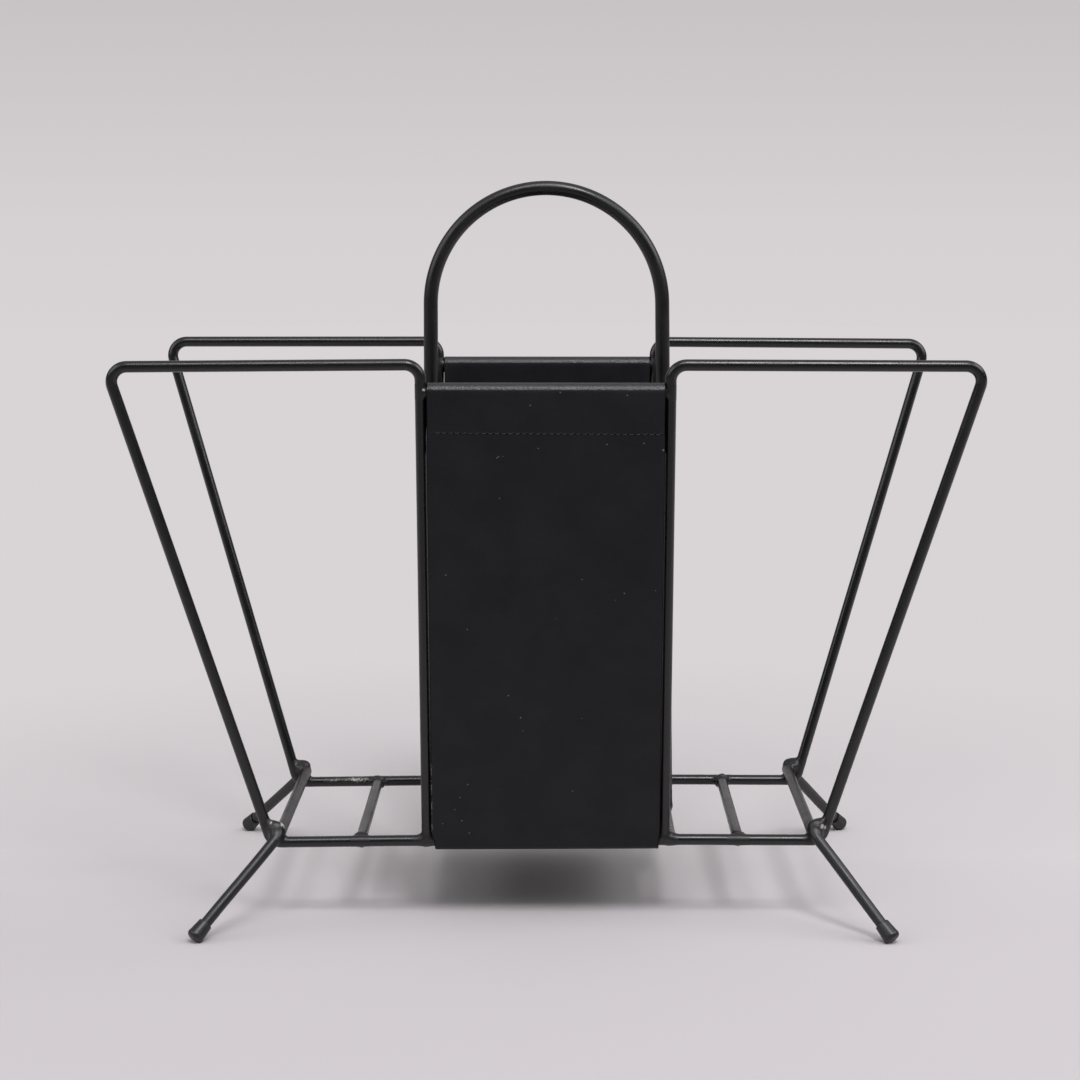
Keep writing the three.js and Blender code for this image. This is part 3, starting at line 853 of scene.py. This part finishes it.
def make_sling(hide, edge, rolled_hide):
    path = sling_path()
    directions = directions_along(path)
    inward = np.stack([np.zeros(len(path)), -directions[:, 2], directions[:, 1]], axis=1)
    length = np.concatenate([[0], np.cumsum(np.linalg.norm(np.diff(path, axis=0), axis=1))])
    widening = {side: np.interp(path[:, 2], EDGE_HEIGHTS, extra) for side, extra in EDGE_WIDENING.items()}
    half_width, half_thickness = LEATHER_WIDTH / 2, LEATHER_THICKNESS / 2
    rounding = LEATHER_EDGE_RADIUS
    arc = [(half_width - rounding * (1 - math.sin(a)), half_thickness - rounding * (1 - math.cos(a)))
           for a in np.linspace(0, math.pi / 2, EDGE_STEPS + 1)]
    columns = round(LEATHER_WIDTH / COLUMN_STEP)
    flat_reach = half_width - rounding
    flat = [(x, half_thickness) for x in np.linspace(-flat_reach, flat_reach, columns + 1)]
    upper = [(-x, out) for x, out in reversed(arc)] + flat[1:-1] + arc
    section = np.array(upper + [(x, -out) for x, out in reversed(upper)])
    count = len(section)
    past_hems = np.minimum(length, length[-1] - length) - HEM_LENGTH - WAVE_FROM_HEM
    free = np.clip(past_hems / WAVE_FADE_AT_HEM, 0, 1)
    places = []
    for ring, (middle, normal) in enumerate(zip(path, inward)):
        loose = min(1, abs(abs(middle[1]) - BASE_HALF_DEPTH) / WAVE_FADE_AT_BASE)
        sag = 0
        if normal[2] > LEVEL_NORMAL:
            sag = SLING_SAG * math.cos(middle[1] / BASE_HALF_DEPTH * math.pi / 2)
        for x, out in section:
            wave = noise.noise(Vector((x / WAVE_ACROSS, length[ring] / WAVE_ALONG, WAVE_SEED)))
            own_side = math.copysign(EDGE_WOBBLE_SEED, x)
            wobble = noise.noise(Vector((own_side, length[ring] / EDGE_WOBBLE_LENGTH, 0)))
            lift = WAVE_HEIGHT * wave * free[ring] * loose
            across = x + EDGE_WOBBLE * wobble * (x / half_width) ** EDGE_WOBBLE_FADE
            across *= 1 + widening[LEFT if x < 0 else RIGHT][ring] / half_width
            places.append(middle + normal * (out + lift) + np.array((across, 0, -sag)))
    places = np.array(places)
    flat_kind, edge_kind, rolled_kind = range(3)
    at_edge = [(part + EDGE_STEPS + 1) % len(upper) <= 2 * EDGE_STEPS for part in range(count)]
    faces, kinds = [], []
    for ring in range(len(path) - 1):
        broad_kind = rolled_kind if path[ring, 2] > ROLL_FOOT else flat_kind
        for part in range(count):
            here, there = ring * count + part, ring * count + (part + 1) % count
            faces.append((here, here + count, there + count, there))
            kinds.append(edge_kind if at_edge[part] else broad_kind)
    tail = (len(path) - 1) * count
    for part in range(len(upper) - 1):
        a, b, c, d = part, part + 1, count - 2 - part, count - 1 - part
        faces.append((a, b, c, d))
        faces.append((tail + d, tail + c, tail + b, tail + a))
        kinds += [edge_kind, edge_kind]
    rod = np.array(in_frame(FRONT, 0, ROD_UP))
    up_frame = np.array(in_frame(FRONT, 0, 1)) - np.array(in_frame(FRONT, 0, 0))
    mirrored = np.stack([0 * places[:, 0], -np.abs(places[:, 1]), places[:, 2]], axis=1)
    from_seam = (mirrored - rod) @ up_frame + SEAM_DROP - SEAM_SLOPE * places[:, 0]
    from_seam = np.where(np.abs(mirrored[:, 1]) < BASE_HALF_DEPTH, FAR_FROM_SEAM, from_seam)
    name = "leather_sling_strip"
    attributes = {"from_seam": from_seam, "wear": wear_at(name, places)}
    materials = [hide, edge, rolled_hide]
    piece = make_piece(name, places, faces, materials, ["leather_sling"], attributes, kinds)
    return piece, length[-1]


def uneven(usual, most, *place):
    """A size that differs from the usual one by up to this much, in its own way at each place."""
    return usual + most * noise.noise(Vector(place))


def make_stitches(name, end, out, facing, thread):
    """A row of stitches along a hem, on the face that lies this far out of the frame's plane."""
    places, faces = [], []
    base = np.array(in_frame(end, 0, ROD_UP - SEAM_DROP, out))
    up = np.array(in_frame(end, 0, 1)) - np.array(in_frame(end, 0, 0))
    outward = (np.array(in_frame(end, 0, 0, 1)) - np.array(in_frame(end, 0, 0))) * facing
    for stitch in range(STITCHES):
        x = SEAM_START + STITCH_PITCH * (stitch + 0.5)
        length = STITCH_PITCH * uneven(*STITCH_LENGTH, stitch * 3.1, end, facing + 9)
        tilt = uneven(*STITCH_TILT, stitch * 1.7, end, facing)
        rise = THREAD_RADIUS * uneven(*STITCH_RISE, stitch * 2.3, end, facing + 5)
        path, radii = [], []
        for share in np.linspace(-1, 1, STITCH_PLACES):
            lift = (rise + STITCH_SINKS) * (1 - share ** 4) - STITCH_SINKS
            across = x + share * length / 2
            path.append(base + (across, 0, 0) + up * (tilt * share + SEAM_SLOPE * across) + outward * lift)
            radii.append(THREAD_RADIUS * (1 - THREAD_THINS * abs(share) ** 3))
        new_places, new_faces = tube(np.array(path), radii, THREAD_SIDES)
        shift = sum(map(len, places))
        places.append(new_places)
        faces += [tuple(index + shift for index in face) for face in new_faces]
    return make_piece(name, np.vstack(places), faces, [thread])


# Foot caps

def make_foot_cap(corner, side, end, rubber):
    """A flared cup turned on the leg's axis, with what would be under the floor worn flat."""
    leg = Leg(side, end)
    bore = WIRE_RADIUS + CAP_CLEARANCE
    edge = [(CAP_BASE_RADIUS - CAP_EDGE_RADIUS * (1 - math.sin(a)), CAP_EDGE_RADIUS * (1 - math.cos(a)))
            for a in np.linspace(0, math.pi / 2, CAP_EDGE_PLACES)]
    lip = [(CAP_RIM_RADIUS - CAP_RIM_ROUNDING * (1 - math.cos(a)),
            CAP_LENGTH - CAP_RIM_ROUNDING * (1 - math.sin(a)))
           for a in np.linspace(0, math.pi / 2, CAP_LIP_PLACES)]
    wall_foot, wall_top = edge[-1], lip[0]
    wall = [(wall_foot[0] + (wall_top[0] - wall_foot[0]) * share ** CAP_FLARE,
             wall_foot[1] + (wall_top[1] - wall_foot[1]) * share)
            for share in np.linspace(0, 1, CAP_WALL_PLACES)[1:-1]]
    profile = edge + wall + lip + [(bore, CAP_LENGTH - CAP_MOUTH_DEPTH), (bore, CAP_FLOOR)]
    start = unit(np.cross(leg.up, (0, 1, 0)))
    other = np.cross(leg.up, start)
    angles = np.linspace(0, 2 * math.pi, CAP_SIDES, endpoint=False)
    circle = np.cos(angles)[:, None] * start + np.sin(angles)[:, None] * other
    rings = [leg.cap_base + leg.up * along + across * circle for across, along in profile]
    places, faces = skin_over(rings, leg.cap_base, leg.wire_end)
    places[:, 2] = np.maximum(places[:, 2], 0)
    solid = "foot_cap_" + corner
    make_piece(solid + "_rubber", places, faces, [rubber], [solid])


# The rack

set_up_camera()
make_backdrop()
set_up_light()

# The lacquer is duller and coarser over the welds, and a little duller on the handle and the bows
lacquer = dipped_lacquer("dipped_lacquer")
weld_lacquer = dipped_lacquer("weld_lacquer", roughness=0.4, peel=0.06)
bow_lacquer = dipped_lacquer("bow_lacquer", roughness=0.38)
handle_lacquer = dipped_lacquer("handle_lacquer", roughness=0.34)
hide = finished_cowhide("finished_cowhide", gloss=0.15)
rolled_hide = finished_cowhide("rolled_cowhide", gloss=0.62)
hide_edge = cut_hide_edge()
thread = waxed_thread()
rubber = moulded_rubber()

frame_wires = {end: frame_path(sign) for end, sign in ENDS.items()}
sling_rods = {end: sling_rod_path(sign) for end, sign in ENDS.items()}
bows = {side: bow_path(sign) for side, sign in SIDES.items()}
base_bars = {side: bar_path(sign * BASE_BARS_X[sign]) for side, sign in SIDES.items()}
handle_bars = {side: bar_path(sign * HANDLE_FEET_X[sign]) for side, sign in SIDES.items()}
handle = handle_path()

for end in ENDS:
    make_rod(end + "_frame_wire", frame_wires[end], WIRE_RADIUS, lacquer, [end + "_frame"])
    make_rod(end + "_sling_rod_wire", sling_rods[end], WIRE_RADIUS, lacquer, [end + "_sling_rod"])
for side in SIDES:
    make_rod(side + "_base_bar_rod", base_bars[side], WIRE_RADIUS, lacquer, [side + "_base_bar"])
    make_rod(side + "_handle_bar_rod", handle_bars[side], WIRE_RADIUS, lacquer, [side + "_handle_bar"])
    make_rod(side + "_leg_bow_wire", bows[side], WIRE_RADIUS, bow_lacquer, [side + "_leg_bow"])
make_rod("carrying_handle_rod", handle, HANDLE_RADIUS, handle_lacquer, ["carrying_handle"])

for seed, (end, side) in enumerate((end, side) for end in ENDS for side in SIDES):
    corner = end + "_" + side
    front, left = ENDS[end], SIDES[side]
    wire, sling_rod, bow, base_bar, handle_bar = [
        (path, WIRE_RADIUS)
        for path in (frame_wires[end], sling_rods[end], bows[side], base_bars[side], handle_bars[side])]
    make_foot_cap(corner, left, front, rubber)

    nest = np.array((left * (BOW_X + WIRE_RADIUS), front * BASE_HALF_DEPTH, BOW_HEIGHT))
    beads = [(nest + (left * x, front * y, z), r) for x, y, z, r in CORNER_WEB]
    corner_weld = Weld(nest, [wire, bow], *CORNER_WELD, beads, WEB_FILLET, WEB_LUMP_HEIGHT, seed)
    corner_weld.make("corner_weld_" + corner + "_bead", weld_lacquer, ["corner_weld_" + corner])

    bar_end = np.array((left * BASE_BARS_X[left], front * (BASE_HALF_DEPTH - WIRE_RADIUS), BASE_HEIGHT))
    collar = []
    for a in np.linspace(0, 2 * math.pi, COLLAR_BEADS, endpoint=False):
        place = bar_end + (COLLAR_RADIUS * math.cos(a), -front * COLLAR_BACK, COLLAR_RADIUS * math.sin(a))
        collar.append((place, COLLAR_BEAD_RADIUS + COLLAR_UNEVEN * math.sin(3 * a + seed)))
    bar_weld = Weld(bar_end, [wire, base_bar], *BAR_WELD, collar, seed=seed + 10)
    bar_weld.make("bar_weld_" + corner + "_bead", weld_lacquer, ["bar_weld_" + corner])

    foot_x = left * (UPRIGHTS_X[left] + UPRIGHT_WELD_ASIDE)
    foot = np.array((foot_x, front * BASE_HALF_DEPTH, BASE_HEIGHT + WIRE_RADIUS))
    upright_weld = Weld(foot, [wire, handle_bar], *UPRIGHT_WELD, seed=seed + 20)
    upright_weld.make("upright_weld_" + corner + "_bead", weld_lacquer, ["upright_weld_" + corner])

    rod_end = np.array(in_frame(front, left * (UPRIGHTS_X[left] - WIRE_RADIUS), ROD_UP))
    rod_weld = Weld(rod_end, [wire, sling_rod], *SLING_ROD_WELD, seed=seed + 30)
    rod_weld.make("sling_rod_weld_" + corner, weld_lacquer)

for seed, (side, sign) in enumerate(SIDES.items()):
    handle_foot = np.array((sign * HANDLE_FEET_X[sign], 0, BASE_HEIGHT + WIRE_RADIUS))
    rods = [(handle, HANDLE_RADIUS), (handle_bars[side], WIRE_RADIUS)]
    handle_weld = Weld(handle_foot, rods, *HANDLE_WELD, seed=seed + 40)
    handle_weld.make("handle_weld_" + side + "_bead", weld_lacquer, ["handle_weld_" + side])

sling, strip_length = make_sling(hide, hide_edge, rolled_hide)
for end, sign in ENDS.items():
    outer = WRAP_RADIUS + LEATHER_THICKNESS / 2
    inner = WRAP_RADIUS - LEATHER_THICKNESS - GAP - LEATHER_THICKNESS / 2
    make_stitches(end + "_stitches_outer", sign, outer, 1, thread)
    make_stitches(end + "_stitches_inner", sign, inner, -1, thread)

bpy.context.scene.view_settings.view_transform = "Standard"
